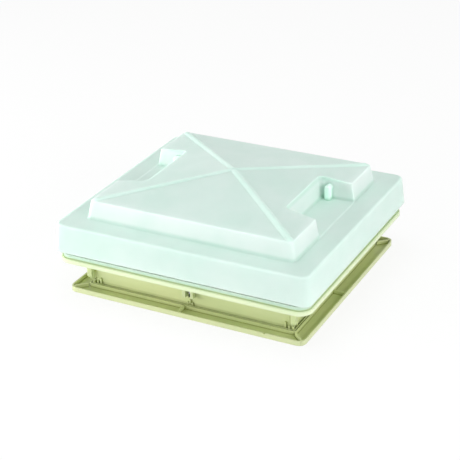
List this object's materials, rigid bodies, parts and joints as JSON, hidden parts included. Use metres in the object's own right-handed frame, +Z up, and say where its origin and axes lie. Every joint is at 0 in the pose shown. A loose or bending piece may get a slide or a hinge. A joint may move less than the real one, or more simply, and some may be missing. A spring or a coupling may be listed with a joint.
{
  "type": "rv skylight",
  "caption": "Caravan rooflight: opal double dome that lifts from either side, roof frame, hinged flyscreen and an inner trim that telescopes into the roof cut-out.",
  "frame": {"origin": "centre of the inner trim's underside, on the room side of the roof", "axes": "+X towards the right latched side, along the long side; +Y to the rear; +Z up, out of the roof"},
  "size_m": [0.428, 0.388, 0.172],
  "materials": {
    "trim_plastic": "olive ABS, satin",
    "frame_plastic": "cream ABS, satin",
    "opal_acrylic": "opal acrylic, gloss",
    "clear_acrylic": "clear acrylic, gloss",
    "rim_plastic": "white ABS, satin",
    "seal_rubber": "black EPDM, matt",
    "spline_rubber": "black rubber cord, matt",
    "steel": "zinc plated steel",
    "nylon": "dark nylon, satin",
    "handle_plastic": "grey nylon, satin",
    "screen_plastic": "cream ABS, satin",
    "mesh_fabric": "dark woven mesh"
  },
  "bodies": {
    "fixed_frame": {"inner_trim": "trim_plastic", "screw_caps": "trim_plastic", "roof_frame": "frame_plastic", "dome_seal": "seal_rubber", "trim_screws": "steel", "keeper_screws": "steel", "rod_saddles": "nylon", "pivot_brackets": "steel", "pivot_pins": "steel", "friction_washers": "nylon", "keeper_left": "nylon", "keeper_right": "nylon", "screen_catches": "trim_plastic"},
    "flyscreen": {"flyscreen_frame": "screen_plastic", "flyscreen_mesh": "mesh_fabric", "mesh_spline": "spline_rubber"},
    "right_carrier": {"right_rod": "steel", "right_arm_front": "steel", "right_arm_rear": "steel", "right_rod_clips": "steel"},
    "dome": {"dome_outer": "opal_acrylic", "dome_inner": "clear_acrylic", "dome_rim": "rim_plastic", "rim_screws": "steel", "left_rod": "steel", "left_rod_clips": "steel"},
    "front_left_arm": {"left_arm_front": "steel"},
    "rear_left_arm": {"left_arm_rear": "steel"},
    "left_latch": {"left_handle": "handle_plastic"},
    "right_latch": {"right_handle": "handle_plastic"}
  },
  "joints": [
    {"name": "right_side_lift", "type": "hinge", "parent": "fixed_frame", "child": "right_carrier", "pos_m": [-0.17, 0, 0.074], "axis": [0, -1, 0], "range_deg": [0, 10], "deforming": ["dome_seal"]},
    {"name": "left_side_lift", "type": "hinge", "parent": "right_carrier", "child": "dome", "pos_m": [0.17, 0, 0.074], "axis": [0, 1, 0], "range_deg": [0, 10], "deforming": ["dome_seal"]},
    {"name": "left_arm_front_pivot", "type": "hinge", "parent": "fixed_frame", "child": "front_left_arm", "pos_m": [0.156, -0.1479, 0.074], "axis": [0, 1, 0], "range_deg": [0, 10.5]},
    {"name": "left_arm_rear_pivot", "type": "hinge", "parent": "fixed_frame", "child": "rear_left_arm", "pos_m": [0.156, 0.1479, 0.074], "axis": [0, 1, 0], "range_deg": [0, 10.5]},
    {"name": "left_handle_turn", "type": "hinge", "parent": "dome", "child": "left_latch", "pos_m": [-0.17, 0, 0.074], "axis": [0, 1, 0], "range_deg": [0, 35]},
    {"name": "right_handle_turn", "type": "hinge", "parent": "dome", "child": "right_latch", "pos_m": [0.17, 0, 0.074], "axis": [0, -1, 0], "range_deg": [0, 35]},
    {"name": "flyscreen_hinge", "type": "hinge", "parent": "fixed_frame", "child": "flyscreen", "pos_m": [-0.147, 0, 0.0055], "axis": [0, 1, 0], "range_deg": [0, 90]}
  ],
  "couplings": [
    {"joint": "left_arm_front_pivot", "follows": "left_side_lift", "ratio": 1.042},
    {"joint": "left_arm_rear_pivot", "follows": "left_side_lift", "ratio": 1.042}
  ]
}
